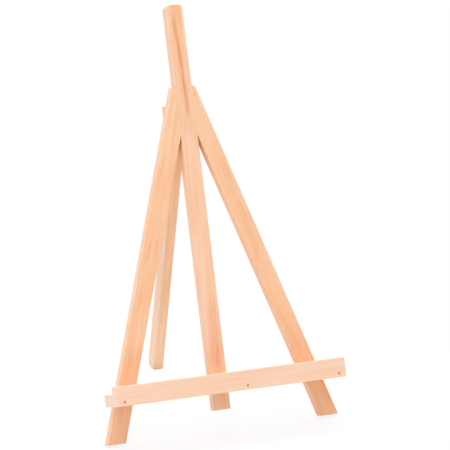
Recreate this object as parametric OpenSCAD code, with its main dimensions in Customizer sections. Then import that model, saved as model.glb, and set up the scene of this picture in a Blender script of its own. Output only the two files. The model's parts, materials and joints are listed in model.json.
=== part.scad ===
// Folding table easel in plain beech: an A-shaped front frame with a ledge, held up by a rear leg on a pivot.
// Pieces of the front frame are drawn flat: x across, y backwards from the front faces, z up the front faces
// from the ends of the feet. The frame then leans back, onto the back edges of its feet. The origin lies on
// the table, under the middle of the stand.

/* [Front frame] */
// Lean of the front frame back from the vertical, in degrees
lean = 20.2; // [14:0.1:26]
// Thickness of the upright and the front legs, front to back
strip_t = 11; // [9:0.5:16]

/* [Upright] */
// Width of the upright
upright_w = 18.4; // [14:0.2:26]
// Lower end of the upright, up its front face from the ends of the feet
upright_low = 20.5; // [12:0.5:34]
// Upper end of the upright, up its front face from the ends of the feet
upright_top = 443; // [400:1:520]
// Radius of the corners at the upright's upper end
upright_round = 5; // [1:0.5:6.5]

/* [Front legs] */
// Width of a front leg
leg_w = 18.8; // [14:0.2:24]
// Span over the outsides of the front feet at their ends
feet_span = 255.6; // [220:0.2:320]
// Upper end of the front legs, up the front face from the ends of the feet
leg_top = 357.4; // [340:0.2:380]
// Width of a leg's pointed head where it is cut off at the top
head_tip_w = 3.4; // [2.6:0.2:6]

/* [Ledge] */
// Length of the ledge
ledge_l = 250; // [230:1:320]
// Underside of the ledge, up the front face from the ends of the feet
ledge_low = 39; // [28:0.5:60]
// Depth of the shelf from the front faces to the lip
shelf_d = 26; // [24:0.5:40]
// Thickness of the shelf
shelf_t = 12; // [9:0.5:16]
// Thickness of the lip
lip_t = 15; // [9:0.5:18]
// Height of the lip
lip_h = 20; // [17:0.5:34]

/* [Rear leg] */
// Width of the rear leg across the stand
rear_w = 10.8; // [9:0.2:14]
// Depth of the rear leg, front to back
rear_d = 18; // [14:0.5:22]
// Lean of the rear leg forwards from the vertical when it stands open, in degrees
rear_lean = 13.4; // [10:0.1:20]
// Length of the rear leg above its pivot
rear_head = 13; // [10:0.5:16]
// Radius of the heel on the rear leg's foot
heel_r = 6; // [2:0.5:8]

/* [Pivot] */
// Height of the pivot, up the front face from the ends of the feet
pivot_up = 331.3; // [320:0.1:345]
// Space between the front frame's back and the rear leg when it lies folded
fold_gap = 3; // [2:0.5:5]
// Diameter of the pivot pin
pin_d = 4; // [3:0.5:6]
// Radial running clearance of the pin in the rear leg
pin_clear = 0.05; // [0.02:0.01:0.1]
// Space between the rear leg and each cheek
cheek_gap = 0.25; // [0.15:0.05:0.5]
// Thickness of a cheek across the stand
cheek_t = 10.8; // [8:0.2:14]
// Wood left in a cheek behind the pin
cheek_wall = 3; // [2:0.5:8]
// Wood left in a cheek past each end of the pin
pin_wall = 3; // [2:0.5:5]
// Height of a cheek above the pivot
cheek_above = 8.7; // [6:0.1:14]
// Length of a cheek below the pivot
cheek_below = 35; // [28:0.5:50]

/* [Nails] */
// Diameter of a nail's shank
nail_d = 1.6; // [1.2:0.1:2.2]
// Diameter of a nail's head
nail_head_d = 2.6; // [2.4:0.1:3.4]
// Thickness of a nail's head
nail_head_h = 0.8; // [0.5:0.1:1.2]
// Depth of a nail's head below the wood
nail_sink = 0.6; // [0.3:0.1:1]
// Bite of the lip nails into the shelf
lip_nail_bite = 13; // [8:0.5:18]
// Height of the lip nails above the ledge's underside
lip_nail_up = 4.2; // [3:0.1:6]
// Distance of the outer lip nails from the ledge's ends
lip_nail_inset = 7.5; // [5:0.5:10]
// Distance of the middle lip nail from the centre line, clear of the screw there
lip_nail_off = 15.5; // [10:0.5:30]
// Bite of the cheek nails into the front legs
cheek_nail_bite = 7; // [4:0.5:8]
// Distance of the upper cheek nail below the pivot
cheek_nail_drop = 10; // [8:0.5:12]
// Distance between the two nails of a cheek
cheek_nail_pitch = 9; // [6:0.5:10]

/* [Brads] */
// Diameter of the slanting brad in each leg's head
brad_d = 1.2; // [0.9:0.1:1.6]
// Length of a brad
brad_l = 11; // [8:0.5:12]
// Slant of a brad from square to the front face, in degrees
brad_slant = 35; // [25:1:45]
// Depth of a brad's end below the wood
brad_sink = 0.4; // [0.2:0.1:0.8]
// Distance of a brad below the legs' upper end
brad_drop = 9.5; // [8:0.5:10]
// Distance of a brad's entry from the joint with the upright
brad_in = 1.6; // [1.4:0.1:2.4]

/* [Screws] */
// Diameter of a shelf screw's shank
screw_d = 3.5; // [3:0.1:4]
// Diameter of a shelf screw's countersunk head
screw_head_d = 7; // [6:0.1:8]
// Bite of a shelf screw into the shelf
screw_bite = 19; // [12:0.5:20]
// Length of each arm of the cross recess in a screw's head, end to end
recess_l = 4; // [3:0.1:4.6]
// Width of the arms of the cross recess
recess_w = 0.9; // [0.6:0.1:1.2]
// Depth of the cross recess
recess_h = 1.2; // [0.8:0.1:1.6]

/* [Dowels] */
// Diameter of the dowels through the head joint
dowel_d = 6; // [4:0.5:7]
// Bite of a dowel into each front leg
dowel_bite = 6; // [3:0.5:6.5]
// Distance of the upper dowel below the legs' upper end
dowel_drop = 16; // [15:0.5:20]
// Distance between the two dowels
dowel_pitch = 13; // [9:0.5:14]

/* [Fit] */
// Gap around nails, brads, screws and dowels in their holes
hole_clear = 0.05; // [0.02:0.01:0.1]

/* [Hidden] */
$fn = 48;
// Over-run of a cut past the face it starts from
cut = 1;
// Length of the point on a nail, brad or screw, in shank diameters
point_ratio = 2;

// The front frame
front_half = upright_w / 2;
frame_rise = strip_t * sin(lean);
splay = atan((feet_span / 2 - front_half - head_tip_w) / leg_top);
leg_run = leg_w / cos(splay);
ledge_d = shelf_d + lip_t;
screw_up = ledge_low + shelf_t / 2;
lip_nail_z = ledge_low + lip_nail_up;
lip_nail_end = ledge_l / 2 - lip_nail_inset;
lip_nail_x = [-lip_nail_end, lip_nail_off, lip_nail_end];
lip_nail_l = lip_t + lip_nail_bite - nail_sink;

// The pivot and the cheeks
pivot_in = strip_t + fold_gap + rear_d / 2;
cheek_back = pivot_in + pin_d / 2 + cheek_wall;
cheek_d = cheek_back - strip_t;
cheek_inner = rear_w / 2 + cheek_gap;
cheek_mid = cheek_inner + cheek_t / 2;
cheek_nail_l = cheek_d + cheek_nail_bite - nail_sink;
cheek_nail_z = [for (i = [0, 1]) pivot_up - cheek_nail_drop - i * cheek_nail_pitch];
pin_l = 2 * (cheek_inner + cheek_t - pin_wall);

// The rear leg, seen from the side: horizontal distance back and height
pivot_y = frame_y(pivot_up, pivot_in);
pivot_z = frame_z(pivot_up, pivot_in);
rear_reach = (pivot_z + rear_d) / cos(rear_lean);
heel_y = pivot_y + pivot_z * tan(rear_lean) + rear_d / 2 / cos(rear_lean);
heel_centre_y = heel_y - heel_r * (tan(rear_lean) + 1 / cos(rear_lean));

// The stand's reach on the table, whose middle is the origin
stand_front = min(0, frame_y(ledge_low, -ledge_d));
stand_back = heel_centre_y + heel_r;
stand_mid = (stand_front + stand_back) / 2;

function frame_y(up, back) = up * sin(lean) + back * cos(lean);
function frame_z(up, back) = frame_rise + up * cos(lean) - back * sin(lean);
function leg_outer(up) = feet_span / 2 - up * tan(splay);
function leg_middle(up) = leg_outer(up) - leg_run / 2;

SIDES = ["left", "right"];
PLACES = ["left", "centre", "right"];
LEVELS = ["upper", "lower"];

upright_colour = [0.97, 0.79, 0.65];
leg_colour = [0.96, 0.74, 0.59];
ledge_colour = [0.98, 0.81, 0.69];
rear_colour = [0.96, 0.77, 0.63];
dowel_colour = [0.90, 0.76, 0.58];
steel_colour = [0.62, 0.62, 0.64];

// Moves pieces of the front frame from its flat drawing to its lean over the table
module leaned() {
    translate([0, -stand_mid, frame_rise]) rotate([-lean, 0, 0]) children();
}

// Moves pieces drawn over the table, as seen from the side, to the origin
module standing() {
    translate([0, -stand_mid, 0]) children();
}

// A flat outline, drawn across and up, given a thickness backwards from the front faces
module front_plate(thickness) {
    translate([0, thickness, 0]) rotate([90, 0, 0]) linear_extrude(thickness) children();
}

// An outline seen from the side, drawn back and up, given a width across the stand
module side_plate(width) {
    translate([-width / 2, 0, 0]) rotate([90, 0, 90]) linear_extrude(width) children();
}

// The corner that a round of the given radius takes off, with the corner at the origin
module corner_waste(radius) {
    difference() {
        translate([-radius, -radius]) square(radius + cut);
        translate([-radius, -radius]) circle(radius);
    }
}

// Outline of a nail as it is turned, with room around it and a rise above its head for its hole
function nail_outline(length, room, rise) = [
    [0, -rise],
    [nail_head_d / 2 + room, -rise],
    [nail_head_d / 2 + room, nail_head_h + room],
    [nail_d / 2 + room, nail_head_h + room],
    [nail_d / 2 + room, length - point_ratio * nail_d + room],
    [0, length + room]
];

module nail(length) {
    rotate_extrude() polygon(nail_outline(length, 0, 0));
}

module nail_hole(length) {
    rotate_extrude() polygon(nail_outline(length, hole_clear, nail_sink + cut));
}

// Outline of a shelf screw with a right-angled countersunk head
function screw_outline(room, rise) = [
    [0, -rise],
    [screw_head_d / 2 + room, -rise],
    [screw_head_d / 2 + room, 0],
    [screw_d / 2 + room, (screw_head_d - screw_d) / 2],
    [screw_d / 2 + room, strip_t + screw_bite - point_ratio * screw_d + room],
    [0, strip_t + screw_bite + room]
];

module screw() {
    difference() {
        rotate_extrude() polygon(screw_outline(0, 0));
        for (turn = [0, 90]) {
            rotate(turn) translate([-recess_l / 2, -recess_w / 2, -cut])
                cube([recess_l, recess_w, recess_h + cut]);
        }
    }
}

module screw_hole() {
    rotate_extrude() polygon(screw_outline(hole_clear, cut));
}

// Outline of a headless brad
function brad_outline(room, rise) = [
    [0, -rise],
    [brad_d / 2 + room, -rise],
    [brad_d / 2 + room, brad_l - point_ratio * brad_d + room],
    [0, brad_l + room]
];

module brad() {
    rotate_extrude() polygon(brad_outline(0, 0));
}

module brad_hole() {
    rotate_extrude() polygon(brad_outline(hole_clear, brad_sink + cut));
}

module dowel(room) {
    length = upright_w + 2 * (dowel_bite + room);
    rotate([0, 90, 0]) cylinder(h = length, d = dowel_d + 2 * room, center = true);
}

// Places of the fasteners in the flat front frame
module at_lip_nail(i) {
    translate([lip_nail_x[i], nail_sink - ledge_d, lip_nail_z]) rotate([-90, 0, 0]) children();
}

module at_shelf_screw(i) {
    translate([(i - 1) * leg_middle(screw_up), strip_t, screw_up]) rotate([90, 0, 0]) children();
}

module at_head_dowel(i) {
    translate([0, strip_t / 2, leg_top - dowel_drop - i * dowel_pitch]) children();
}

module at_cheek_nail(hand, i) {
    translate([hand * cheek_mid, cheek_back - nail_sink, cheek_nail_z[i]]) rotate([90, 0, 0]) children();
}

module at_head_brad(hand) {
    translate([hand * (front_half + brad_in), 0, leg_top - brad_drop])
        rotate([0, 0, hand * brad_slant]) rotate([-90, 0, 0]) translate([0, 0, brad_sink]) children();
}

module head_dowel_holes() {
    for (i = [0, 1]) at_head_dowel(i) dowel(hole_clear);
}

module centre_upright() {
    color(upright_colour) leaned() difference() {
        front_plate(strip_t) difference() {
            translate([-front_half, upright_low]) square([upright_w, upright_top - upright_low]);
            translate([front_half, upright_top]) corner_waste(upright_round);
            translate([-front_half, upright_top]) mirror([1, 0]) corner_waste(upright_round);
        }
        head_dowel_holes();
        for (hand = [-1, 1]) at_head_brad(hand) brad_hole();
        at_shelf_screw(1) screw_hole();
    }
}

// A front leg with its foot cut square and its head mitred along the upright; hand is -1 left, 1 right
module front_leg(hand) {
    color(leg_colour) leaned() difference() {
        front_plate(strip_t) scale([hand, 1]) intersection() {
            polygon([
                [leg_outer(0), 0],
                [leg_outer(leg_top), leg_top],
                [leg_outer(leg_top) - leg_run, leg_top],
                [leg_outer(0) - leg_run, 0]
            ]);
            translate([front_half, 0]) square([feet_span, leg_top]);
        }
        head_dowel_holes();
        at_head_brad(hand) brad_hole();
        for (i = [0, 1]) at_cheek_nail(hand, i) nail_hole(cheek_nail_l);
        at_shelf_screw(1 + hand) screw_hole();
    }
}

module ledge_shelf() {
    color(ledge_colour) leaned() difference() {
        translate([-ledge_l / 2, -shelf_d, ledge_low]) cube([ledge_l, shelf_d, shelf_t]);
        for (i = [0:2]) {
            at_lip_nail(i) nail_hole(lip_nail_l);
            at_shelf_screw(i) screw_hole();
        }
    }
}

module ledge_lip() {
    color(ledge_colour) leaned() difference() {
        translate([-ledge_l / 2, -ledge_d, ledge_low]) cube([ledge_l, lip_t, lip_h]);
        for (i = [0:2]) at_lip_nail(i) nail_hole(lip_nail_l);
    }
}

// A cheek, with a blind hole for its end of the pin
module cheek(hand) {
    color(rear_colour) leaned() difference() {
        translate([hand * cheek_mid - cheek_t / 2, strip_t, pivot_up - cheek_below])
            cube([cheek_t, cheek_d, cheek_below + cheek_above]);
        translate([0, pivot_in, pivot_up]) rotate([0, 90, 0])
            cylinder(h = pin_l + 2 * hole_clear, d = pin_d + 2 * hole_clear, center = true);
        for (i = [0, 1]) at_cheek_nail(hand, i) nail_hole(cheek_nail_l);
    }
}

module pivot_pin() {
    color(steel_colour) leaned() translate([0, pivot_in, pivot_up]) rotate([0, 90, 0])
        cylinder(h = pin_l, d = pin_d, center = true);
}

// The rear leg: its top is bevelled flat against the upright's back, which stops it when it stands open
module rear_leg() {
    color(rear_colour) standing() difference() {
        side_plate(rear_w) difference() {
            translate([pivot_y, pivot_z]) rotate(rear_lean)
                translate([-rear_d / 2, -rear_reach]) square([rear_d, rear_reach + rear_head]);
            translate([0, frame_rise]) rotate(-lean)
                translate([strip_t - upright_top, 0]) square(upright_top);
            translate([0, -upright_top]) square([2 * heel_y, upright_top]);
            heel_waste();
        }
        translate([0, pivot_y, pivot_z]) rotate([0, 90, 0])
            cylinder(h = rear_w + 2 * cut, d = pin_d + 2 * pin_clear, center = true);
    }
}

// What the rounded heel leaves off between the rear leg's back and the table
module heel_waste() {
    difference() {
        polygon([
            [heel_centre_y, heel_r],
            [heel_centre_y, -cut],
            [heel_y + cut, -cut],
            [heel_centre_y + (heel_r + cut) * cos(rear_lean), heel_r + (heel_r + cut) * sin(rear_lean)]
        ]);
        translate([heel_centre_y, heel_r]) circle(heel_r);
    }
}

module lip_nail(i) {
    color(steel_colour) leaned() at_lip_nail(i) nail(lip_nail_l);
}

module shelf_screw(i) {
    color(steel_colour) leaned() at_shelf_screw(i) screw();
}

module head_dowel(i) {
    color(dowel_colour) leaned() at_head_dowel(i) dowel(0);
}

module head_brad(hand) {
    color(steel_colour) leaned() at_head_brad(hand) brad();
}

module cheek_nail(hand, i) {
    color(steel_colour) leaned() at_cheek_nail(hand, i) nail(cheek_nail_l);
}

centre_upright();
front_leg(-1);  // left_leg
front_leg(1);  // right_leg
ledge_shelf();
ledge_lip();
cheek(-1);  // left_cheek
cheek(1);  // right_cheek
pivot_pin();
rear_leg();
for (i = [0:2]) {
    lip_nail(i);
    shelf_screw(i);
}
for (i = [0, 1]) {
    hand = 2 * i - 1;
    head_dowel(i);
    head_brad(hand);
    for (level = [0, 1]) {
        cheek_nail(hand, level);
    }
}
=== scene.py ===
"""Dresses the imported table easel: planed beech strips with eased arrises and a solid-wood grain, steel
fasteners and pivot pin, and a pale studio stage with the photograph's camera."""

import json
import math

import bmesh
import bpy
from bpy.props import FloatProperty, FloatVectorProperty, PointerProperty
from bpy.types import Operator, Panel, PropertyGroup
from mathutils import Matrix, Vector

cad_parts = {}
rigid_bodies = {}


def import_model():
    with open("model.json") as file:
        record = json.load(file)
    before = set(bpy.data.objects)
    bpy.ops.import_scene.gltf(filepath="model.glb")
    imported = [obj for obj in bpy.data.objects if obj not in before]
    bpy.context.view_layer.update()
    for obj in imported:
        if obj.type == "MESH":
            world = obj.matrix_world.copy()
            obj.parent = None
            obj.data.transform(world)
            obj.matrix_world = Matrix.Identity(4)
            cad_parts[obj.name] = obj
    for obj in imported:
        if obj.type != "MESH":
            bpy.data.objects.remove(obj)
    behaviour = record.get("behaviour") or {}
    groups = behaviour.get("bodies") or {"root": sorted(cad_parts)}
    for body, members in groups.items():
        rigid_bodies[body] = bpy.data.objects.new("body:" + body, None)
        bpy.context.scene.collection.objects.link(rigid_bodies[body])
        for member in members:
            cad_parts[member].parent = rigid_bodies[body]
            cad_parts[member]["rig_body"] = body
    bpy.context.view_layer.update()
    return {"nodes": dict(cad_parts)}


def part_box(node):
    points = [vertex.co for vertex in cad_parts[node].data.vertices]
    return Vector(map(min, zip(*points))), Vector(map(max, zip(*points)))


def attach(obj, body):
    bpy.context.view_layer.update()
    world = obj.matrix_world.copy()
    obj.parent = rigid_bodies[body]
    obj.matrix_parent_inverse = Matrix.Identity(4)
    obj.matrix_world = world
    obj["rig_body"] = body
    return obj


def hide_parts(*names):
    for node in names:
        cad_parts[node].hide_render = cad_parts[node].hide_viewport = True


bl_info = {
    "name": "Beech table easel",
    "version": (1, 0, 0),
    "blender": (4, 5, 0),
    "location": "3D View > Sidebar > Easel",
    "description": "Dresses the folding table easel in planed beech and dull steel on a pale stage",
    "category": "Object",
}

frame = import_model()

FRONT_LEGS = ("left_leg", "right_leg")
LEDGE_STRIPS = ("ledge_shelf", "ledge_lip")
CHEEKS = ("left_cheek", "right_cheek")
DOWELS = ("upper_head_dowel", "lower_head_dowel")
LIP_NAILS = ("lip_nail_left", "lip_nail_centre", "lip_nail_right")
CHEEK_NAILS = (
    "left_cheek_nail_upper",
    "left_cheek_nail_lower",
    "right_cheek_nail_upper",
    "right_cheek_nail_lower",
)
BRADS = ("left_head_brad", "right_head_brad")
SCREWS = ("shelf_screw_left", "shelf_screw_centre", "shelf_screw_right")


def linear(red, green, blue):
    """A colour given in display values from 0 to 255, as the shader takes it."""
    shares = [value / 255.0 for value in (red, green, blue)]
    return tuple(
        share / 12.92 if share <= 0.04045 else ((share + 0.055) / 1.055) ** 2.4 for share in shares
    )


def colour_property(name, description, display):
    """A colour that the user can change, given in display values."""
    return FloatVectorProperty(
        name=name,
        description=description,
        default=linear(*display),
        subtype="COLOR",
        size=3,
        min=0.0,
        max=1.0,
    )


class TimberSettings(PropertyGroup):
    """Sizes and colours of the beech."""

    arris: FloatProperty(
        name="Arris",
        description="Radius to which the strips' free arrises are sanded",
        default=0.0005,
        min=0.0002,
        max=0.0012,
        unit="LENGTH",
        precision=5,
    )
    crisp: FloatProperty(
        name="Crisp length",
        description="Length below the head joint over which the sanding doesn't reach the inner arrises",
        default=0.01,
        min=0.002,
        max=0.03,
        unit="LENGTH",
        precision=4,
    )
    ring_width: FloatProperty(
        name="Ring width",
        description="Usual distance between two growth rings",
        default=0.0024,
        min=0.0008,
        max=0.006,
        unit="LENGTH",
        precision=5,
    )
    # How far below the head joint the crotches get painted shade
    painted_shade_reach: FloatProperty(
        name="Stain reach",
        description="Distance to which glue and dust have darkened the narrow crotch below the head joint",
        default=0.055,
        min=0.01,
        max=0.1,
        unit="LENGTH",
        precision=4,
    )
    upright_pale: colour_property("Upright, pale", "Sapwood colour of the upright", (253, 211, 179))
    upright_warm: colour_property(
        "Upright, warm", "Colour of the upright's warmer streaks", (251, 186, 138)
    )
    leg_pale: colour_property("Legs, pale", "Sapwood colour of the front legs", (253, 208, 170))
    leg_warm: colour_property("Legs, warm", "Colour of the front legs' warmer streaks", (251, 186, 139))
    ledge_pale: colour_property("Ledge, pale", "Sapwood colour of the shelf and the lip", (253, 216, 190))
    ledge_warm: colour_property("Ledge, warm", "Colour of the ledge's warmer streaks", (253, 204, 169))
    rear_pale: colour_property(
        "Rear leg, pale", "Sapwood colour of the rear leg and the cheeks", (253, 211, 179)
    )
    # Darker than the other warm colours, partly as painted shade on the rear leg and the cheeks behind the
    # frame's head
    rear_warm_with_painted_shade: colour_property("Rear leg, warm", "Colour of their warmer streaks", (238, 188, 138))
    # Partly the sanded end grain and partly painted light: the ends of the shelf and the lip are paler, as
    # if lit from the side
    ledge_ends_with_painted_light: colour_property(
        "End grain, ledge", "Colour of the sanded ends of the shelf and the lip", (250, 222, 201)
    )
    ends: colour_property("End grain", "Colour of the sawn ends of the other strips", (238, 198, 164))
    dark: colour_property(
        "Dark grain", "Colour of the rays and of the late wood in the rings", (206, 140, 92)
    )
    ledge_dark: colour_property(
        "Dark grain, ledge", "The same in the plainer wood of the ledge and the dowels", (226, 168, 126)
    )
    streak: colour_property("Streaks", "Colour of the single mineral streaks", (232, 156, 102))
    # Tint of the shade painted into the crotches below the head joint
    shade: colour_property("Stain", "Tint of the glue and dust below the head joint", (206, 184, 96))


class MetalSettings(PropertyGroup):
    """Sizes and colours of the fasteners and the pivot pin."""

    rim: FloatProperty(
        name="Rim",
        description="Radius on the rims of nail heads and of the pivot pin",
        default=0.0002,
        min=0.00005,
        max=0.0003,
        unit="LENGTH",
        precision=5,
    )
    nail: colour_property("Nails", "Browned steel of the nails", (186, 142, 112))
    brad: colour_property("Brads", "Brassed steel of the brads in the legs' heads", (232, 176, 132))
    screw: colour_property("Screws", "Plated steel of the shelf screws", (176, 172, 160))
    pin: colour_property("Pivot pin", "Bright steel of the pivot pin", (188, 188, 190))
    tarnish: colour_property("Tarnish", "Colour of the rusty tarnish on the metal", (216, 152, 102))


class StudioSettings(PropertyGroup):
    """Camera, light and floor."""

    camera_place: FloatVectorProperty(
        name="Camera",
        description="Place of the camera",
        default=(-0.89127, -2.327256, 0.966863),
        subtype="TRANSLATION",
        unit="LENGTH",
        size=3,
    )
    camera_aim: FloatVectorProperty(
        name="Aim",
        description="Point at the middle of the picture",
        default=(0.023823, -0.03201, 0.203493),
        subtype="TRANSLATION",
        unit="LENGTH",
        size=3,
    )
    camera_roll: FloatProperty(
        name="Roll",
        description="Turn of the camera about its line of sight",
        default=math.radians(0.424),
        subtype="ANGLE",
        unit="ROTATION",
    )
    lens: FloatProperty(
        name="Lens",
        description="Focal length on a 36 mm sensor",
        default=200.0,
        min=20.0,
        max=400.0,
        unit="CAMERA",
    )
    key_power: FloatProperty(
        name="Key light",
        description="Power of the large soft light at the front left",
        default=17.5,
        min=0.0,
        unit="POWER",
    )
    side_power: FloatProperty(
        name="Side light",
        description="Power of the soft light at the left",
        default=1.0,
        min=0.0,
        unit="POWER",
    )
    front_power: FloatProperty(
        name="Front light",
        description="Power of the soft light above and in front",
        default=24.5,
        min=0.0,
        unit="POWER",
    )
    top_power: FloatProperty(
        name="Top light",
        description="Power of the soft light above and behind",
        default=64.0,
        min=0.0,
        unit="POWER",
    )
    ambient: FloatProperty(
        name="Ambient",
        description="Strength of the even light from all round",
        default=0.375,
        min=0.0,
        max=1.0,
        subtype="FACTOR",
    )
    floor: colour_property("Floor", "Colour of the floor", (246, 246, 245))
    floor_glow: FloatProperty(
        name="Floor glow",
        description="Share of plain white in what the camera sees of the floor near the easel",
        default=0.85,
        min=0.0,
        max=1.0,
        subtype="FACTOR",
    )


class EaselSettings(PropertyGroup):
    """All settings of the dressed easel."""

    timber: PointerProperty(type=TimberSettings, name="Timber", description="Beech strips")
    metal: PointerProperty(type=MetalSettings, name="Metal", description="Fasteners and pivot pin")
    studio: PointerProperty(type=StudioSettings, name="Studio", description="Camera, light and floor")


def settings():
    """The settings that the panel shows."""
    return bpy.context.scene.easel


# Shader building

FLOAT = "NodeSocketFloat"
VECTOR = "NodeSocketVector"
COLOUR = "NodeSocketColor"
WHITE = (1.0, 1.0, 1.0, 1.0)

# The level about which a noise swings
NOISE_MIDDLE = 0.5


def opaque(colour):
    """A colour with full alpha, as colour sockets take it."""
    return (*colour, 1.0)


def add_node(tree, kind, inputs=(), **options):
    """Adds a node, sets its options, and sets or links its inputs, given as pairs of socket and value."""
    made = tree.nodes.new(kind)
    for option, value in options.items():
        setattr(made, option, value)
    for socket, value in inputs:
        if isinstance(value, bpy.types.NodeSocket):
            tree.links.new(value, made.inputs[socket])
        else:
            made.inputs[socket].default_value = value
    return made


def calc(tree, operation, *terms, clamp=False):
    """The output of a Math node."""
    node = add_node(tree, "ShaderNodeMath", enumerate(terms), operation=operation, use_clamp=clamp)
    return node.outputs[0]


def product(tree, value, *factors):
    """Numbers multiplied together."""
    for factor in factors:
        value = calc(tree, "MULTIPLY", value, factor)
    return value


def raised(tree, base, value, amount, clamp=False):
    """A number plus an amount of a value."""
    return calc(tree, "MULTIPLY_ADD", value, amount, base, clamp=clamp)


def swung(tree, base, level, amount):
    """A number that goes up and down by an amount of a noise."""
    return raised(tree, base, calc(tree, "SUBTRACT", level, NOISE_MIDDLE), amount)


def vector_calc(tree, operation, *terms):
    """The vector output of a Vector Math node."""
    node = add_node(tree, "ShaderNodeVectorMath", enumerate(terms), operation=operation)
    return node.outputs[0]


def scaled(tree, vector, factor):
    """A vector times a number."""
    node = add_node(tree, "ShaderNodeVectorMath", [(0, vector), ("Scale", factor)], operation="SCALE")
    return node.outputs[0]


def length(tree, vector):
    """The length of a vector."""
    return add_node(tree, "ShaderNodeVectorMath", [(0, vector)], operation="LENGTH").outputs["Value"]


def parts(tree, vector):
    """The parts of a vector, by X, Y and Z."""
    return add_node(tree, "ShaderNodeSeparateXYZ", [(0, vector)]).outputs


def ramped(tree, value, low, high, to_low=0.0, to_high=1.0):
    """A value eased from one range to another."""
    inputs = [
        ("Value", value),
        ("From Min", low),
        ("From Max", high),
        ("To Min", to_low),
        ("To Max", to_high),
    ]
    node = add_node(tree, "ShaderNodeMapRange", inputs, interpolation_type="SMOOTHSTEP", clamp=True)
    return node.outputs["Result"]


def faded(tree, value, low, high):
    """A value eased from 1 at the low end of a range to 0 at the high end."""
    return ramped(tree, value, low, high, 1.0, 0.0)


def mixed(tree, share, first, second, blend="MIX"):
    """Two colours mixed by a share."""
    inputs = [("Factor", share), ("A", first), ("B", second)]
    node = add_node(tree, "ShaderNodeMix", inputs, data_type="RGBA", blend_type=blend, clamp_factor=True)
    return node.outputs["Result"]


def noise(tree, vector, stretch, detail=2.0, roughness=0.5, output="Fac"):
    """A noise over a vector that is stretched first."""
    stretched = vector_calc(tree, "MULTIPLY", vector, stretch)
    inputs = [("Vector", stretched), ("Scale", 1.0), ("Detail", detail), ("Roughness", roughness)]
    return add_node(tree, "ShaderNodeTexNoise", inputs, noise_dimensions="3D").outputs[output]


def shader_group(name, given, made, build):
    """A shader group, built once and then shared; the function build returns its outputs in order."""
    if name in bpy.data.node_groups:
        return bpy.data.node_groups[name]
    tree = bpy.data.node_groups.new(name, "ShaderNodeTree")
    for label, kind, default in given:
        socket = tree.interface.new_socket(label, in_out="INPUT", socket_type=kind)
        socket.default_value = default
    for label, kind in made:
        tree.interface.new_socket(label, in_out="OUTPUT", socket_type=kind)
    source = tree.nodes.new("NodeGroupInput").outputs
    result = tree.nodes.new("NodeGroupOutput").inputs
    for (label, kind), value in zip(made, build(tree, source)):
        tree.links.new(value, result[label])
    return tree


def place_group(tree, group, inputs):
    """Places a shader group in a material, with its values and links."""
    return add_node(tree, "ShaderNodeGroup", inputs, node_tree=group).outputs


# Beech: its noises, as features in a metre across the strip, into it and along its grain
RING_WANDER = (18.0, 18.0, 2.2)
WARM_STREAKS = (170.0, 170.0, 13.0)
TONE_PATCHES = (60.0, 60.0, 18.0)
FIBRES = (1900.0, 1900.0, 42.0)
FINE_LINES = (560.0, 560.0, 19.0)
RAYS = (880.0, 880.0, 150.0)
PORES = (2600.0, 2600.0, 900.0)

# Step of all these noises from one seed to the next
SEED_STEP = (0.37, 0.53, 0.71)

# Growth rings: by how many metres they wander, and how often and by how many rings their width changes
RING_SWING = 0.008
RING_CHANGES = 0.55
RING_SHIFT = 1.6

# Shares of a year over which its late wood comes in and ends, and noise levels from faint to clear rings
LATE_WOOD = (0.3, 0.92)
YEAR_END = (0.94, 1.0)
RING_CLARITY = (0.3, 0.7)
FAINT_RING = 0.35

# Warmth: how much streaks and patches change it, and where along the strip the foot and the head begin
STREAK_SWING = 1.9
TONE_SWING = 0.8
PER_CENTIMETRE = 100.0
FOOT_STRETCH = (-0.17, -0.06)
HEAD_STRETCH = (0.06, 0.17)

# Levels over which rays fade out and fine lines and pores come in, and how clear rays are in pale wood
RAY_EDGE = (0.1, 0.24)
RAY_CLARITY = (0.35, 0.6)
FAINT_RAY = 0.25
LINE_EDGE = (0.52, 0.78)
PORE_EDGE = (0.5, 0.75)

# How far a face has to look along the grain for its end grain to come in
END_FACING = (0.55, 0.8)

# Shares of the dark colour and of the end grain's, and the tone of the fibres
RING_SHARE = 0.12
LINE_SHARE = 0.14
RAY_SHARE = 0.3
PORE_SHARE = 0.2
END_SHARE = 0.7
DARKEST_FIBRE = 0.94
FIBRE_TONE = 0.12

# Roughness of a planed face, and what the fibres, the end grain and the late wood add to it
PLANED_ROUGHNESS = 0.32
FIBRE_ROUGHNESS = 0.16
END_ROUGHNESS = 0.14
LATE_ROUGHNESS = -0.06

# Relief of the rays, the pores in end grain and the late wood, beside 1 for the fibres
RAY_RELIEF = -0.5
PORE_RELIEF = 0.8
LATE_RELIEF = 0.25


def growth_rings(tree, source, place):
    """Late wood, from 0 to 1, in rings round a heart that lies beside the piece and drifts along it."""
    along = parts(tree, source["Vector"])["Z"]
    wander = noise(tree, place, RING_WANDER, detail=1.5, output="Color")
    wander = scaled(tree, vector_calc(tree, "SUBTRACT", wander, (NOISE_MIDDLE,) * 3), RING_SWING)
    heart = vector_calc(tree, "ADD", source["Heart"], scaled(tree, source["Drift"], along))
    spoke = vector_calc(tree, "ADD", vector_calc(tree, "ADD", source["Vector"], heart), wander)
    radius = length(tree, vector_calc(tree, "MULTIPLY", spoke, (1.0, 1.0, 0.0)))
    turns = calc(tree, "DIVIDE", radius, source["Ring Width"])
    inputs = [("W", turns), ("Scale", RING_CHANGES), ("Detail", 1.0)]
    uneven = add_node(tree, "ShaderNodeTexNoise", inputs, noise_dimensions="1D").outputs["Fac"]
    year = calc(tree, "FRACT", raised(tree, turns, uneven, RING_SHIFT))
    late = product(tree, ramped(tree, year, *LATE_WOOD), faded(tree, year, *YEAR_END))
    return product(tree, late, ramped(tree, uneven, *RING_CLARITY, to_low=FAINT_RING))


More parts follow.
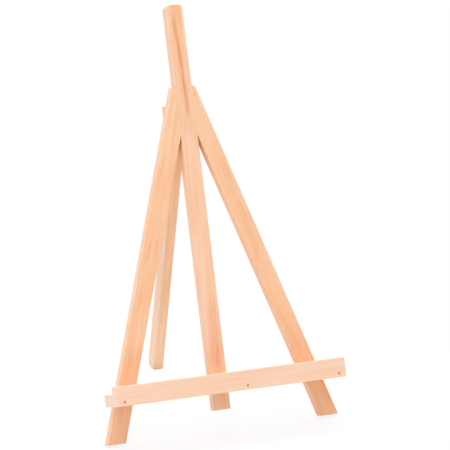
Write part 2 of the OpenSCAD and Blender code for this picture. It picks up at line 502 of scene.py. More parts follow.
def warm_share(tree, source, place, streak):
    """Share of the warmer colour, in streaks and patches, and by the side, the foot and the head."""
    spot = parts(tree, source["Vector"])
    across = calc(tree, "MULTIPLY", spot["X"], PER_CENTIMETRE)
    foot = faded(tree, spot["Z"], *FOOT_STRETCH)
    head = ramped(tree, spot["Z"], *HEAD_STRETCH)
    warm = swung(tree, source["Warmth"], streak, STREAK_SWING)
    warm = swung(tree, warm, noise(tree, place, TONE_PATCHES, detail=1.0), TONE_SWING)
    warm = raised(tree, warm, across, source["Side Warmth"])
    warm = raised(tree, warm, foot, source["Foot Warmth"])
    return raised(tree, warm, head, source["Head Warmth"], clamp=True)


def short_rays(tree, place, streak):
    """The short dark rays of beech, clearest in its streaks."""
    cells = vector_calc(tree, "MULTIPLY", place, RAYS)
    cells = add_node(tree, "ShaderNodeTexVoronoi", [("Vector", cells), ("Scale", 1.0)], feature="F1")
    ray = faded(tree, cells.outputs["Distance"], *RAY_EDGE)
    return product(tree, ray, ramped(tree, streak, *RAY_CLARITY, to_low=FAINT_RAY))


def planed_beech(tree, source):
    """Colour, roughness and relief of solid beech."""
    place = vector_calc(tree, "ADD", source["Vector"], scaled(tree, SEED_STEP, source["Seed"]))
    streak = noise(tree, place, WARM_STREAKS, detail=3.0, roughness=0.55)
    late = growth_rings(tree, source, place)
    ray = short_rays(tree, place, streak)
    fibre = noise(tree, place, FIBRES, detail=2.5, roughness=0.6)
    line = ramped(tree, noise(tree, place, FINE_LINES, detail=1.5), *LINE_EDGE)
    pore = noise(tree, place, PORES, detail=1.0)
    facing = calc(tree, "ABSOLUTE", parts(tree, source["Normal"])["Z"])
    end = ramped(tree, facing, *END_FACING)
    side = calc(tree, "SUBTRACT", 1.0, end)

    dark = source["Dark"]
    colour = mixed(tree, warm_share(tree, source, place, streak), source["Pale"], source["Warm"])
    colour = mixed(tree, product(tree, late, RING_SHARE), colour, dark)
    colour = mixed(tree, product(tree, line, LINE_SHARE), colour, dark)
    colour = mixed(tree, product(tree, ray, side, RAY_SHARE), colour, dark)
    colour = scaled(tree, colour, raised(tree, DARKEST_FIBRE, fibre, FIBRE_TONE))
    ends = mixed(tree, END_SHARE, colour, source["End Grain"])
    ends = mixed(tree, product(tree, ramped(tree, pore, *PORE_EDGE), PORE_SHARE), ends, dark)
    colour = mixed(tree, end, colour, ends)

    rough = raised(tree, PLANED_ROUGHNESS, fibre, FIBRE_ROUGHNESS)
    rough = raised(tree, rough, end, END_ROUGHNESS)
    rough = raised(tree, rough, late, LATE_ROUGHNESS)
    height = raised(tree, fibre, ray, RAY_RELIEF)
    height = raised(tree, height, product(tree, pore, end), PORE_RELIEF)
    height = raised(tree, height, late, LATE_RELIEF)
    return colour, rough, height


def beech_grain():
    """The group for solid beech: growth rings, warm streaks, rays, fibres and end grain."""
    given = [
        ("Vector", VECTOR, (0.0, 0.0, 0.0)),
        ("Normal", VECTOR, (0.0, -1.0, 0.0)),
        ("Seed", FLOAT, 0.0),
        ("Heart", VECTOR, (0.05, 0.03, 0.0)),
        ("Drift", VECTOR, (0.02, 0.02, 0.0)),
        ("Ring Width", FLOAT, 0.0024),
        ("Pale", COLOUR, (0.9, 0.6, 0.4, 1.0)),
        ("Warm", COLOUR, (0.9, 0.5, 0.3, 1.0)),
        ("Dark", COLOUR, (0.5, 0.25, 0.1, 1.0)),
        ("End Grain", COLOUR, (0.95, 0.75, 0.6, 1.0)),
        ("Warmth", FLOAT, 0.4),
        ("Side Warmth", FLOAT, 0.0),
        ("Foot Warmth", FLOAT, 0.0),
        ("Head Warmth", FLOAT, 0.0),
    ]
    made = [("Color", COLOUR), ("Roughness", FLOAT), ("Height", FLOAT)]
    return shader_group("Beech grain", given, made, planed_beech)


# Mineral streaks: their noises, as for beech, their sway in metres, and noise levels from faint to clear
STREAK_WANDER = (40.0, 40.0, 26.0)
STREAK_GRAIN = (900.0, 900.0, 24.0)
STREAK_SWAY = 0.003
STREAK_CLARITY = (0.25, 0.6)
FAINT_STREAK = 0.55

# Shares of a streak's width and length over which it thins out
STREAK_EDGE = (0.1, 1.0)
STREAK_FOOT = (0.0, 0.3)
STREAK_HEAD = (0.75, 1.0)


def streak_mask(tree, source):
    """Mask of a streak that runs from one point of a face to another, thin at both ends."""
    spot = parts(tree, source["Vector"])
    rise = calc(tree, "SUBTRACT", source["Head Z"], source["Foot Z"])
    lean = calc(tree, "SUBTRACT", source["Head X"], source["Foot X"])
    share = calc(tree, "DIVIDE", calc(tree, "SUBTRACT", spot["Z"], source["Foot Z"]), rise)
    middle = raised(tree, source["Foot X"], share, lean)
    off = calc(tree, "SUBTRACT", spot["X"], middle)
    off = swung(tree, off, noise(tree, source["Vector"], STREAK_WANDER), STREAK_SWAY)
    across = calc(tree, "DIVIDE", calc(tree, "ABSOLUTE", off), source["Width"])
    core = faded(tree, across, *STREAK_EDGE)
    ends = product(tree, ramped(tree, share, *STREAK_FOOT), faded(tree, share, *STREAK_HEAD))
    grainy = noise(tree, source["Vector"], STREAK_GRAIN)
    grainy = ramped(tree, grainy, *STREAK_CLARITY, to_low=FAINT_STREAK)
    return (product(tree, core, ends, grainy),)


def mineral_streak():
    """The group for one dark streak."""
    given = [
        ("Vector", VECTOR, (0.0, 0.0, 0.0)),
        ("Foot X", FLOAT, 0.0),
        ("Foot Z", FLOAT, 0.0),
        ("Head X", FLOAT, 0.0),
        ("Head Z", FLOAT, 0.1),
        ("Width", FLOAT, 0.002),
    ]
    return shader_group("Mineral streak", given, [("Mask", FLOAT)], streak_mask)


# Painted shade in a crotch: its noise, as for beech, and the roughness that it adds
SHADE_PATCHES = (150.0, 150.0, 60.0)
SHADE_ROUGHNESS = 0.5

# How far a face has to look into the crotch, and the metres from the strip's back over which it fades
SHADE_FACING = (0.4, 0.9)
SHADE_DEPTH = (0.003, 0.0105)

# Shares of its reach below the joint over which it comes in and at which it ends, and how that varies
SHADE_START = (-0.05, 0.25)
SHADE_END = 0.9
SHADE_END_SWING = 0.2


def painted_crotch_shade(tree, source):
    """Colour and roughness with shade painted into a crotch: darker and duller, most of all near the joint
    and at the back.
    """
    crotch = parts(tree, source["Crotch"])
    spot = parts(tree, source["Vector"])
    facing = calc(tree, "MULTIPLY", parts(tree, source["Normal"])["X"], calc(tree, "SIGN", crotch["X"]))
    facing = ramped(tree, facing, *SHADE_FACING)
    below = calc(tree, "DIVIDE", calc(tree, "SUBTRACT", crotch["Z"], spot["Z"]), source["Reach"])
    deep = faded(tree, calc(tree, "SUBTRACT", crotch["Y"], spot["Y"]), *SHADE_DEPTH)
    patchy = noise(tree, source["Vector"], SHADE_PATCHES)
    end = raised(tree, SHADE_END, patchy, SHADE_END_SWING)
    near = calc(tree, "SUBTRACT", end, below, clamp=True)
    near = product(tree, near, ramped(tree, below, *SHADE_START))
    amount = product(tree, facing, near, source["Strength"], deep)
    tint = mixed(tree, amount, WHITE, source["Stain"])
    colour = mixed(tree, 1.0, source["Color"], tint, blend="MULTIPLY")
    return colour, raised(tree, source["Roughness"], amount, SHADE_ROUGHNESS)


def joint_painted_shade():
    """The group for shade painted on the side of a strip that faces a crotch."""
    given = [
        ("Vector", VECTOR, (0.0, 0.0, 0.0)),
        ("Normal", VECTOR, (0.0, -1.0, 0.0)),
        ("Crotch", VECTOR, (0.0, 0.0, 0.0)),
        ("Reach", FLOAT, 0.05),
        ("Strength", FLOAT, 1.0),
        ("Color", COLOUR, (0.9, 0.6, 0.4, 1.0)),
        ("Roughness", FLOAT, 0.5),
        ("Stain", COLOUR, (0.5, 0.4, 0.2, 1.0)),
    ]
    made = [("Color", COLOUR), ("Roughness", FLOAT)]
    return shader_group("Joint stain", given, made, painted_crotch_shade)


# Sanding on the arrises: its noise, as for beech, the noise levels from little to much, the shares of the
# pale colour at both, and the roughness that it adds
SANDING = (90.0, 90.0, 60.0)
SANDING_LEVELS = (0.35, 0.65)
SANDING_SHARES = (0.25, 0.7)
SANDING_ROUGHNESS = 0.12


def rubbed_arris(tree, source):
    """Colour and roughness, paler and rougher where sanding has cut across the fibres."""
    rub = noise(tree, source["Vector"], SANDING, detail=3.0, roughness=0.6)
    rubbed = product(tree, source["Arris"], ramped(tree, rub, *SANDING_LEVELS, *SANDING_SHARES))
    colour = mixed(tree, rubbed, source["Color"], source["Pale"])
    return colour, raised(tree, source["Roughness"], rubbed, SANDING_ROUGHNESS)


def sanded_arris():
    """The group for eased arrises."""
    given = [
        ("Vector", VECTOR, (0.0, 0.0, 0.0)),
        ("Arris", FLOAT, 0.0),
        ("Color", COLOUR, (0.9, 0.6, 0.4, 1.0)),
        ("Roughness", FLOAT, 0.5),
        ("Pale", COLOUR, (0.95, 0.75, 0.55, 1.0)),
    ]
    made = [("Color", COLOUR), ("Roughness", FLOAT)]
    return shader_group("Sanded arris", given, made, rubbed_arris)


# Steel: its noises, as for beech, the levels over which tarnish comes in, and how its amount moves them
TARNISH_PATCHES = (900.0, 900.0, 900.0)
SCUFFS = (5200.0, 2100.0, 5200.0)
TARNISH_LEVELS = (0.25, 0.6)
TARNISH_OFFSET = 0.3
TARNISH_SPREAD = 0.6

# Tone of the scuffs, and what tarnish and scuffs do to the metal, the roughness and the relief
DARKEST_SCUFF = 0.85
SCUFF_TONE = 0.3
CLEAN_METAL = 0.85
TARNISH_METAL = -0.75
CLEAN_ROUGHNESS = 0.34
TARNISH_ROUGHNESS = 0.25
SCUFF_ROUGHNESS = 0.16
TARNISH_RELIEF = 0.5


def tarnished_steel(tree, source):
    """Colour, metal, roughness and relief of steel with drawn lines, scuffs and patches of tarnish."""
    patch = noise(tree, source["Vector"], TARNISH_PATCHES, detail=4.0, roughness=0.6)
    scuff = noise(tree, source["Vector"], SCUFFS)
    level = calc(tree, "SUBTRACT", patch, TARNISH_OFFSET)
    tarnish = ramped(tree, raised(tree, level, source["Amount"], TARNISH_SPREAD), *TARNISH_LEVELS)
    colour = mixed(tree, tarnish, source["Steel"], source["Tarnish"])
    colour = scaled(tree, colour, raised(tree, DARKEST_SCUFF, scuff, SCUFF_TONE))
    metal = raised(tree, CLEAN_METAL, tarnish, TARNISH_METAL)
    rough = raised(tree, CLEAN_ROUGHNESS, tarnish, TARNISH_ROUGHNESS)
    rough = raised(tree, rough, scuff, SCUFF_ROUGHNESS)
    return colour, metal, rough, raised(tree, scuff, tarnish, TARNISH_RELIEF)


def worked_steel():
    """The group for steel."""
    given = [
        ("Vector", VECTOR, (0.0, 0.0, 0.0)),
        ("Steel", COLOUR, (0.5, 0.5, 0.5, 1.0)),
        ("Tarnish", COLOUR, (0.1, 0.07, 0.05, 1.0)),
        ("Amount", FLOAT, 0.4),
    ]
    made = [("Color", COLOUR), ("Metal", FLOAT), ("Roughness", FLOAT), ("Height", FLOAT)]
    return shader_group("Worked steel", given, made, tarnished_steel)


# Materials

# The mark on a mesh's faces that says where an arris is eased
ARRIS_MARK = "arris"

BEECH_SHEEN = 0.15
BEECH_SHEEN_ROUGHNESS = 0.45

# Strength of the painted shade in the crotches, and amounts of tarnish
UPRIGHT_PAINTED_SHADE = 0.95
LEG_PAINTED_SHADE = 0.7
NAIL_TARNISH = 0.8
BRAD_TARNISH = 0.35
SCREW_TARNISH = 0.15
PIN_TARNISH = 0.1

# Growth of each strip: seed, heart beside the piece, its drift along it, and warmth all over, to the right
# side, to the foot and to the head
GROWTH_SOCKETS = ("Seed", "Heart", "Drift", "Warmth", "Side Warmth", "Foot Warmth", "Head Warmth")
GROWTH = {
    "centre_upright": (3.0, (0.046, -0.052, 0.0), (-0.035, 0.02, 0.0), 0.22, 0.03, 0.08, 0.1),
    "left_leg": (11.0, (-0.038, -0.06, 0.0), (0.03, 0.03, 0.0), 0.5, 0.0, 0.0, -0.3),
    "right_leg": (17.0, (0.05, -0.045, 0.0), (-0.03, 0.02, 0.0), 0.45, 0.0, 0.25, -0.2),
    "ledge_shelf": (23.0, (0.03, 0.07, 0.0), (0.02, 0.03, 0.0), 0.5, 0.0, 0.0, 0.0),
    "ledge_lip": (31.0, (-0.05, 0.06, 0.0), (0.02, -0.02, 0.0), 0.4, 0.0, 0.0, 0.0),
    "left_cheek": (41.0, (0.04, 0.05, 0.0), (0.05, 0.02, 0.0), 0.5, 0.0, 0.0, 0.0),
    "right_cheek": (43.0, (-0.04, 0.05, 0.0), (0.05, 0.02, 0.0), 0.5, 0.0, 0.0, 0.0),
    # The rear leg grows warmer and darker towards its head and paler towards its foot: partly painted
    # shade under the frame's head
    "rear_leg": (47.0, (0.05, 0.04, 0.0), (0.03, -0.02, 0.0), 0.36, 0.25, -0.5, 0.2),
    "upper_head_dowel": (53.0, (0.03, 0.03, 0.0), (0.0, 0.0, 0.0), 0.5, 0.0, 0.0, 0.0),
    "lower_head_dowel": (59.0, (0.02, 0.04, 0.0), (0.0, 0.0, 0.0), 0.5, 0.0, 0.0, 0.0),
}

# Single dark streaks on the strips, in their own axes: foot and head across and along, width, and strength
STREAK_SOCKETS = ("Foot X", "Foot Z", "Head X", "Head Z", "Width")
STREAKS = {
    "centre_upright": (
        (0.0018, 0.128, -0.0024, 0.2075, 0.0030, 0.95),
        (0.0020, 0.088, 0.0006, 0.147, 0.0026, 0.95),
        (0.0001, -0.172, 0.0030, -0.139, 0.0018, 0.5),
        (0.0005, -0.184, 0.0010, -0.085, 0.0090, 0.35),
        (0.0015, 0.060, 0.0000, 0.145, 0.0080, 0.32),
        (0.0010, 0.180, 0.0010, 0.235, 0.0085, 0.25),
    ),
    "left_leg": (
        (-0.0031, -0.002, -0.0020, 0.031, 0.0019, 0.4),
        (0.0048, 0.010, 0.0041, 0.033, 0.0013, 0.35),
        (-0.0045, 0.082, -0.0038, 0.122, 0.0021, 0.2),
        (-0.0040, -0.055, -0.0036, -0.012, 0.0030, 0.2),
    ),
    "right_leg": (
        (0.0051, 0.074, 0.0044, 0.115, 0.0018, 0.45),
        (0.0027, 0.034, 0.0028, 0.064, 0.0014, 0.5),
        (-0.0030, -0.006, -0.0033, 0.017, 0.0015, 0.35),
    ),
}


def emptied_tree(holder):
    """The node tree of a material or a world, with nothing in it."""
    holder.use_nodes = True
    holder.node_tree.nodes.clear()
    return holder.node_tree


def new_material(name):
    """A material with its Principled shader, and the coordinates on the piece."""
    material = bpy.data.materials.new(name)
    tree = emptied_tree(material)
    shader = tree.nodes.new("ShaderNodeBsdfPrincipled")
    output = tree.nodes.new("ShaderNodeOutputMaterial")
    tree.links.new(shader.outputs["BSDF"], output.inputs["Surface"])
    coordinates = tree.nodes.new("ShaderNodeTexCoord").outputs
    return material, tree, shader, coordinates


def bumped(tree, shader, height, strength, distance):
    """Feeds a height to the shader's normal."""
    inputs = [("Height", height), ("Strength", strength), ("Distance", distance)]
    bump = add_node(tree, "ShaderNodeBump", inputs)
    tree.links.new(bump.outputs["Normal"], shader.inputs["Normal"])


def streaked(tree, node, vector, colour):
    """The colour of a strip with its single dark streaks."""
    for *line, strength in STREAKS.get(node, ()):
        inputs = [("Vector", vector), *zip(STREAK_SOCKETS, line)]
        mask = place_group(tree, mineral_streak(), inputs)["Mask"]
        colour = mixed(tree, product(tree, mask, strength), colour, opaque(settings().timber.streak))
    return colour


def with_painted_shade(tree, coordinates, colour, rough, crotches, strength):
    """The colour and roughness of a strip with shade painted below each crotch."""
    timber = settings().timber
    for crotch in crotches:
        inputs = [
            ("Vector", coordinates["Object"]),
            ("Normal", coordinates["Normal"]),
            ("Crotch", crotch),
            ("Reach", timber.painted_shade_reach),
            ("Strength", strength),
            ("Color", colour),
            ("Roughness", rough),
            ("Stain", opaque(timber.shade)),
        ]
        shade = place_group(tree, joint_painted_shade(), inputs)
        colour = shade["Color"]
        rough = shade["Roughness"]
    return colour, rough


def sanded(tree, vector, colour, rough, pale):
    """The colour and roughness of a strip with its eased arrises."""
    arris = add_node(tree, "ShaderNodeAttribute", attribute_name=ARRIS_MARK).outputs["Fac"]
    inputs = [
        ("Vector", vector),
        ("Arris", arris),
        ("Color", colour),
        ("Roughness", rough),
        ("Pale", opaque(pale)),
    ]
    return place_group(tree, sanded_arris(), inputs)


def beech(node, pale, warm, dark, ends, crotches=(), painted_shade_strength=0.0):
    """The beech of one strip, with shade painted below the points in its own axes at which a crotch
    begins.
    """
    material, tree, shader, coordinates = new_material(node + "_beech")
    vector = coordinates["Object"]
    inputs = [
        ("Vector", vector),
        ("Normal", coordinates["Normal"]),
        ("Ring Width", settings().timber.ring_width),
        ("Pale", opaque(pale)),
        ("Warm", opaque(warm)),
        ("Dark", opaque(dark)),
        ("End Grain", opaque(ends)),
        *zip(GROWTH_SOCKETS, GROWTH[node]),
    ]
    grain = place_group(tree, beech_grain(), inputs)
    colour = streaked(tree, node, vector, grain["Color"])
    colour, rough = with_painted_shade(tree, coordinates, colour, grain["Roughness"], crotches, painted_shade_strength)
    finish = sanded(tree, vector, colour, rough, pale)
    tree.links.new(finish["Color"], shader.inputs["Base Color"])
    tree.links.new(finish["Roughness"], shader.inputs["Roughness"])
    shader.inputs["Sheen Weight"].default_value = BEECH_SHEEN
    shader.inputs["Sheen Roughness"].default_value = BEECH_SHEEN_ROUGHNESS
    bumped(tree, shader, grain["Height"], strength=0.3, distance=0.0001)
    return material


def steel(name, colour, tarnish_amount):
    """One finish of steel."""
    material, tree, shader, coordinates = new_material(name)
    inputs = [
        ("Vector", coordinates["Object"]),
        ("Steel", opaque(colour)),
        ("Tarnish", opaque(settings().metal.tarnish)),
        ("Amount", tarnish_amount),
    ]
    worked = place_group(tree, worked_steel(), inputs)
    tree.links.new(worked["Color"], shader.inputs["Base Color"])
    tree.links.new(worked["Roughness"], shader.inputs["Roughness"])
    tree.links.new(worked["Metal"], shader.inputs["Metallic"])
    bumped(tree, shader, worked["Height"], strength=0.35, distance=0.00006)
    return material


# Shaping

# Directions that settle which way a piece's own axes point: along the grain, and into its widest face
GRAIN_SENSE = Vector((1.0, 0.2, 2.0))
INWARD_SENSE = Vector((0.3, 1.0, -0.5))

# Most that a side's normal shares with the grain's direction; an end's shares more
SIDE_LIMIT = 0.5

# Distances in metres within which points are one, a point is on a cut, a point is on a glued face, and a
# point isn't outside a plane
WELD = 1e-6
CUT = 1e-7
TOUCH = 1e-5
FLUSH = 2e-5

# Angles between two faces: below the first they are one flat, above the second their edge is an arris, and
# above the third it is shaded as sharp
FLAT_ANGLE = math.radians(0.5)
ARRIS_ANGLE = math.radians(25.0)
SHARP_ANGLE = math.radians(40.0)

# Faces across an eased arris, the profile that makes it round, and the area in square metres below which a
# face is one of many that make up a round surface
ARRIS_SEGMENTS = 3
ROUND_PROFILE = 0.5
ROUND_FACET = 1.5e-5


def node_shape(node):
    """A CAD node's solid with each flat as one face where that is possible."""
    shape = bmesh.new()
    shape.from_mesh(frame["nodes"][node].data)
    bmesh.ops.remove_doubles(shape, verts=shape.verts[:], dist=WELD)
    bmesh.ops.dissolve_limit(shape, angle_limit=FLAT_ANGLE, verts=shape.verts[:], edges=shape.edges[:])
    shape.normal_update()
    return shape


def own_axes(shape):
    """Where a piece's own axes lie: x across its widest face, y into it, z along the grain."""
    longest = max(shape.edges, key=lambda edge: edge.calc_length())
    grain = (longest.verts[1].co - longest.verts[0].co).normalized()
    if grain.dot(GRAIN_SENSE) < 0.0:
        grain.negate()
    sides = [face for face in shape.faces if abs(face.normal.dot(grain)) < SIDE_LIMIT]
    inward = max(sides, key=lambda face: face.calc_area()).normal.copy()
    if inward.dot(INWARD_SENSE) < 0.0:
        inward.negate()
    across = inward.cross(grain).normalized()
    inward = grain.cross(across)
    turn = Matrix((across, inward, grain)).transposed()
    spots = [turn.inverted() @ vert.co for vert in shape.verts]
    low = Vector([min(spot[i] for spot in spots) for i in range(3)])
    high = Vector([max(spot[i] for spot in spots) for i in range(3)])
    return Matrix.Translation(turn @ ((low + high) / 2.0)) @ turn.to_4x4()


def outer_arrises(shape):
    """The sharp edges between faces that lie on the outside of a piece, and so not those of its holes."""
    spots = [vert.co.copy() for vert in shape.verts]
    outside = set()
    for face in shape.faces:
        reach = face.normal.dot(face.verts[0].co) + FLUSH
        if all(face.normal.dot(spot) <= reach for spot in spots):
            outside.add(face)
    return [
        edge
        for edge in shape.edges
        if all(face in outside for face in edge.link_faces) and edge.calc_face_angle() > ARRIS_ANGLE
    ]


def ease(shape, arrises, radius):
    """Rounds arrises and marks them, and shades the piece smooth where it is round."""
    mark = shape.faces.layers.float[ARRIS_MARK]
    made = bmesh.ops.bevel(
        shape,
        geom=arrises,
        offset=radius,
        offset_type="OFFSET",
        segments=ARRIS_SEGMENTS,
        profile=ROUND_PROFILE,
        affect="EDGES",
        clamp_overlap=False,
        loop_slide=False,
    )
    for face in made["faces"]:
        face[mark] = 1.0
    bmesh.ops.remove_doubles(shape, verts=shape.verts[:], dist=WELD)
    for face in shape.faces:
        face.smooth = face[mark] > 0.5 or face.calc_area() < ROUND_FACET
    for edge in shape.edges:
        edge.smooth = edge.calc_face_angle(0.0) < SHARP_ANGLE


def eased_piece(node, name, radius, glued=None, stops=()):
    """A copy of a CAD node with its arrises eased, apart from those that the test glued picks out.

    The solid is first cut at the stops, where an easing ends part way along an arris. Each stop is a point
    and a distance from it, back along the grain.
    """
    shape = node_shape(node)
    place = own_axes(shape)
    shape.faces.layers.float.new(ARRIS_MARK)
    grain = place.col[2].xyz
    for spot, back in stops:
        everything = shape.verts[:] + shape.edges[:] + shape.faces[:]
        cut = spot - back * grain
        bmesh.ops.bisect_plane(shape, geom=everything, plane_co=cut, plane_no=grain, dist=CUT)
    shape.normal_update()
    arrises = outer_arrises(shape)
    if glued:
        arrises = [edge for edge in arrises if not glued((edge.verts[0].co + edge.verts[1].co) / 2.0)]
    ease(shape, arrises, radius)
    shape.transform(place.inverted())
    mesh = bpy.data.meshes.new(name)
    shape.to_mesh(mesh)
    shape.free()
    piece = bpy.data.objects.new(name, mesh)
    bpy.context.scene.collection.objects.link(piece)
    piece.matrix_world = place
    return piece


def fit(piece, node, material):
    """Puts a piece in the place of a CAD node, on its body and in its finish."""
    piece.data.materials.append(material)
    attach(piece, frame["nodes"][node]["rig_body"])
    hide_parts(node)


def paint(node, material):
    """Gives a CAD node that keeps its shape its finish."""
    materials = frame["nodes"][node].data.materials
    materials.clear()
    materials.append(material)


def head_joint():
    """Half the upright's width, and the lowest and highest points at which a leg is glued to it."""
    low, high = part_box("centre_upright")
    half = (high[0] - low[0]) / 2.0
    spots = [vert.co for vert in frame["nodes"]["right_leg"].data.vertices]
    spots = [spot for spot in spots if abs(spot.x - half) < TOUCH]
    return half, min(spots, key=lambda spot: spot.z), max(spots, key=lambda spot: spot.z)


class EASEL_OT_upright(Operator):
    """Shape the centre upright, crisp where the legs are glued to it"""

    bl_idname = "easel.upright"
    bl_label = "Centre upright"

    def execute(self, context):
        timber = settings().timber
        half, low, high = head_joint()

        def glued(spot):
            return abs(abs(spot.x) - half) < TOUCH and low.z - timber.crisp < spot.z < high.z

        stops = ((low, timber.crisp), (high, 0.0))
        piece = eased_piece("centre_upright", "centre_upright_planed", timber.arris, glued, stops)
        to_own = piece.matrix_basis.inverted()
        # The upright's sides get painted shade below the crotches beside the head joint
        crotches = [to_own @ Vector((hand * half, low.y, low.z)) for hand in (-1.0, 1.0)]
        colours = (timber.upright_pale, timber.upright_warm, timber.dark, timber.ends)
        material = beech("centre_upright", *colours, crotches, UPRIGHT_PAINTED_SHADE)
        fit(piece, "centre_upright", material)
        return {"FINISHED"}


class EASEL_OT_front_legs(Operator):
    """Shape the two front legs, crisp where they are glued to the upright"""

    bl_idname = "easel.front_legs"
    bl_label = "Front legs"

    def execute(self, context):
        timber = settings().timber
        half, low, high = head_joint()
        near = half + timber.crisp / 2.0
        middle = (low.z + high.z) / 2.0

        def glued(spot):
            return abs(spot.x) < half + TOUCH or (abs(spot.x) < near and spot.z < middle)

        colours = (timber.leg_pale, timber.leg_warm, timber.dark, timber.ends)
        for node in FRONT_LEGS:
            hand = math.copysign(1.0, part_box(node)[0][0])
            # Each leg's inner side gets painted shade below its crotch
            crotch = Vector((hand * half, low.y, low.z))
            stops = ((crotch, timber.crisp),)
            piece = eased_piece(node, node + "_planed", timber.arris, glued, stops)
            material = beech(node, *colours, [piece.matrix_basis.inverted() @ crotch], LEG_PAINTED_SHADE)
            fit(piece, node, material)
        return {"FINISHED"}


class EASEL_OT_ledge(Operator):
    """Shape the shelf and its lip"""

    bl_idname = "easel.ledge"
    bl_label = "Ledge"

    def execute(self, context):
        timber = settings().timber
        colours = (timber.ledge_pale, timber.ledge_warm, timber.ledge_dark, timber.ledge_ends_with_painted_light)
        for node, slot in zip(LEDGE_STRIPS, ("shelf_beech", "lip_beech")):
            piece = eased_piece(node, node + "_planed", timber.arris)
            fit(piece, node, beech(node, *colours))
        return {"FINISHED"}


class EASEL_OT_pivot(Operator):
    """Shape the cheeks and the pin that carry the rear leg"""

    bl_idname = "easel.pivot"
    bl_label = "Pivot"

    def execute(self, context):
        timber = settings().timber
        metal = settings().metal
        colours = (timber.rear_pale, timber.rear_warm_with_painted_shade, timber.dark, timber.ends)
        for node in CHEEKS:
            piece = eased_piece(node, node + "_planed", timber.arris)
            fit(piece, node, beech(node, *colours))
        pin = eased_piece("pivot_pin", "pivot_pin_turned", metal.rim)
        fit(pin, "pivot_pin", steel("pin_steel", metal.pin, PIN_TARNISH))
        return {"FINISHED"}


class EASEL_OT_rear_leg(Operator):
    """Shape the rear leg"""

    bl_idname = "easel.rear_leg"
    bl_label = "Rear leg"

    def execute(self, context):
        timber = settings().timber
        colours = (timber.rear_pale, timber.rear_warm_with_painted_shade, timber.dark, timber.ends)
        piece = eased_piece("rear_leg", "rear_leg_planed", timber.arris)
        fit(piece, "rear_leg", beech("rear_leg", *colours))
        return {"FINISHED"}


class EASEL_OT_fasteners(Operator):
    """Shape the nails and dowels, and finish the brads and screws"""

    bl_idname = "easel.fasteners"
    bl_label = "Nails, brads, screws and dowels"

    def execute(self, context):
        timber = settings().timber
        metal = settings().metal
        nail_steel = steel("nail_steel", metal.nail, NAIL_TARNISH)
        for node in LIP_NAILS + CHEEK_NAILS:
            fit(eased_piece(node, node + "_driven", metal.rim), node, nail_steel)
        colours = (timber.ledge_pale, timber.ledge_warm, timber.ledge_dark, timber.ends)
        for node in DOWELS:
            piece = eased_piece(node, node + "_turned", timber.arris)
            fit(piece, node, beech(node, *colours))
        brad_steel = steel("brad_steel", metal.brad, BRAD_TARNISH)
        for node in BRADS:
            paint(node, brad_steel)
        screw_steel = steel("screw_steel", metal.screw, SCREW_TARNISH)
        for node in SCREWS:
            paint(node, screw_steel)
        return {"FINISHED"}


# Stage

# Half the floor's width, and the distances from its middle between which it turns to plain white
FLOOR_HALF = 8.0
FLOOR_FADE = (0.2, 0.5)

# Width of the camera's sensor in millimetres, and the farthest that it sees
SENSOR_WIDTH = 36.0
FAR_CLIP = 60.0

# Size and place of each soft light, and the point that all of them look at
LIGHTS = {
    "key": (1.8, (-1.7, -2.1, 2.0)),
    "side": (2.0, (-2.6, -0.5, 1.3)),
    "front": (2.0, (-0.5, -1.2, 2.7)),
    "top": (2.4, (0.2, 0.9, 2.6)),
}
LIGHT_AIM = (0.0, 0.0, 0.2)


def seen_directly(tree):
    """1 for camera, glossy and transmission rays."""
    path = tree.nodes.new("ShaderNodeLightPath").outputs
    share = calc(tree, "MAXIMUM", path["Is Camera Ray"], path["Is Glossy Ray"])
    return calc(tree, "MAXIMUM", share, path["Is Transmission Ray"])


def shown(tree, share, lit, white, output):
    """Feeds the output with what lights the scene, and with plain white for a share of the rays."""
    inputs = [(0, share), (1, lit.outputs[0]), (2, white.outputs[0])]
    mix = add_node(tree, "ShaderNodeMixShader", inputs)
    tree.links.new(mix.outputs[0], tree.nodes.new(output).inputs["Surface"])


def backdrop_world(ambient):
    """A world that is plain white to the camera and in reflections, and an even light for the rest."""
    world = bpy.data.worlds.new("Pale studio")
    tree = emptied_tree(world)
    light = add_node(tree, "ShaderNodeBackground", [("Color", WHITE), ("Strength", ambient)])
    white = add_node(tree, "ShaderNodeBackground", [("Color", WHITE), ("Strength", 1.0)])
    shown(tree, seen_directly(tree), light, white, "ShaderNodeOutputWorld")
    bpy.context.scene.world = world


def floor_material(colour, glow):
    """A pale floor: white to the camera far off, and near white with its shadow near the easel."""
    material = bpy.data.materials.new("Pale floor")
    tree = emptied_tree(material)
    matt = add_node(tree, "ShaderNodeBsdfDiffuse", [("Color", opaque(colour))])
    white = add_node(tree, "ShaderNodeEmission", [("Color", WHITE), ("Strength", 1.0)])
    away = length(tree, tree.nodes.new("ShaderNodeTexCoord").outputs["Object"])
    whiteness = ramped(tree, away, *FLOOR_FADE, to_low=glow)
    share = product(tree, seen_directly(tree), whiteness)
    shown(tree, share, matt, white, "ShaderNodeOutputMaterial")
    return material


def aimed(thing, name, place, aim, roll=0.0):
    """Adds a camera or lamp that looks at a point."""
    holder = bpy.data.objects.new(name, thing)
    bpy.context.scene.collection.objects.link(holder)
    holder.location = place
    holder.rotation_euler = (Vector(aim) - Vector(place)).to_track_quat("-Z", "Y").to_euler()
    holder.rotation_euler.rotate_axis("Z", roll)
    return holder


def soft_light(name, power, size, place):
    """A square soft light aimed at the easel."""
    lamp = bpy.data.lights.new(name, "AREA")
    lamp.shape = "SQUARE"
    lamp.size = size
    lamp.energy = power
    aimed(lamp, name, place, LIGHT_AIM)


def studio_floor(colour, glow):
    """A wide square floor under the easel."""
    mesh = bpy.data.meshes.new("studio_floor")
    corners = [(-1.0, -1.0), (1.0, -1.0), (1.0, 1.0), (-1.0, 1.0)]
    mesh.from_pydata([(FLOOR_HALF * x, FLOOR_HALF * y, 0.0) for x, y in corners], [], [(0, 1, 2, 3)])
    mesh.materials.append(floor_material(colour, glow))
    floor = bpy.data.objects.new("studio_floor", mesh)
    bpy.context.scene.collection.objects.link(floor)
    return floor


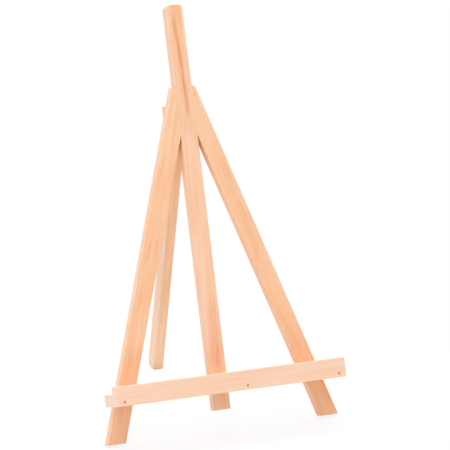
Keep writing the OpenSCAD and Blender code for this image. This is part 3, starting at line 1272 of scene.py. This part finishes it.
class EASEL_OT_stage(Operator):
    """Lay the pale floor and set the camera and the soft lights"""

    bl_idname = "easel.stage"
    bl_label = "Stage"

    def execute(self, context):
        studio = settings().studio
        floor = studio_floor(studio.floor, studio.floor_glow)
        backdrop_world(studio.ambient)
        for name, (size, place) in LIGHTS.items():
            soft_light(name + "_light", getattr(studio, name + "_power"), size, place)
        lens = bpy.data.cameras.new("easel_camera")
        lens.lens = studio.lens
        lens.sensor_width = SENSOR_WIDTH
        lens.clip_end = FAR_CLIP
        context.scene.camera = aimed(
            lens, "easel_camera", studio.camera_place, studio.camera_aim, studio.camera_roll
        )
        context.scene.view_settings.view_transform = "Standard"
        return {"FINISHED"}


STEPS = (
    EASEL_OT_upright,
    EASEL_OT_front_legs,
    EASEL_OT_ledge,
    EASEL_OT_pivot,
    EASEL_OT_rear_leg,
    EASEL_OT_fasteners,
    EASEL_OT_stage,
)


class EASEL_PT_sidebar(Panel):
    """The easel's settings and steps"""

    bl_idname = "EASEL_PT_sidebar"
    bl_label = "Beech table easel"
    bl_space_type = "VIEW_3D"
    bl_region_type = "UI"
    bl_category = "Easel"

    def draw(self, context):
        for group in (settings().timber, settings().metal, settings().studio):
            column = self.layout.box().column()
            for name in group.__annotations__:
                column.prop(group, name)
        steps = self.layout.column()
        for step in STEPS:
            steps.operator(step.bl_idname)


CLASSES = (TimberSettings, MetalSettings, StudioSettings, EaselSettings) + STEPS + (EASEL_PT_sidebar,)


def register():
    """Adds the settings, the steps and the panel."""
    for entry in CLASSES:
        bpy.utils.register_class(entry)
    bpy.types.Scene.easel = PointerProperty(type=EaselSettings)


def unregister():
    """Takes them away again."""
    del bpy.types.Scene.easel
    for entry in reversed(CLASSES):
        bpy.utils.unregister_class(entry)


def main():
    """Dresses the easel."""
    register()
    bpy.ops.easel.upright()
    bpy.ops.easel.front_legs()
    bpy.ops.easel.ledge()
    bpy.ops.easel.pivot()
    bpy.ops.easel.rear_leg()
    bpy.ops.easel.fasteners()
    bpy.ops.easel.stage()


if __name__ == "__main__":
    main()
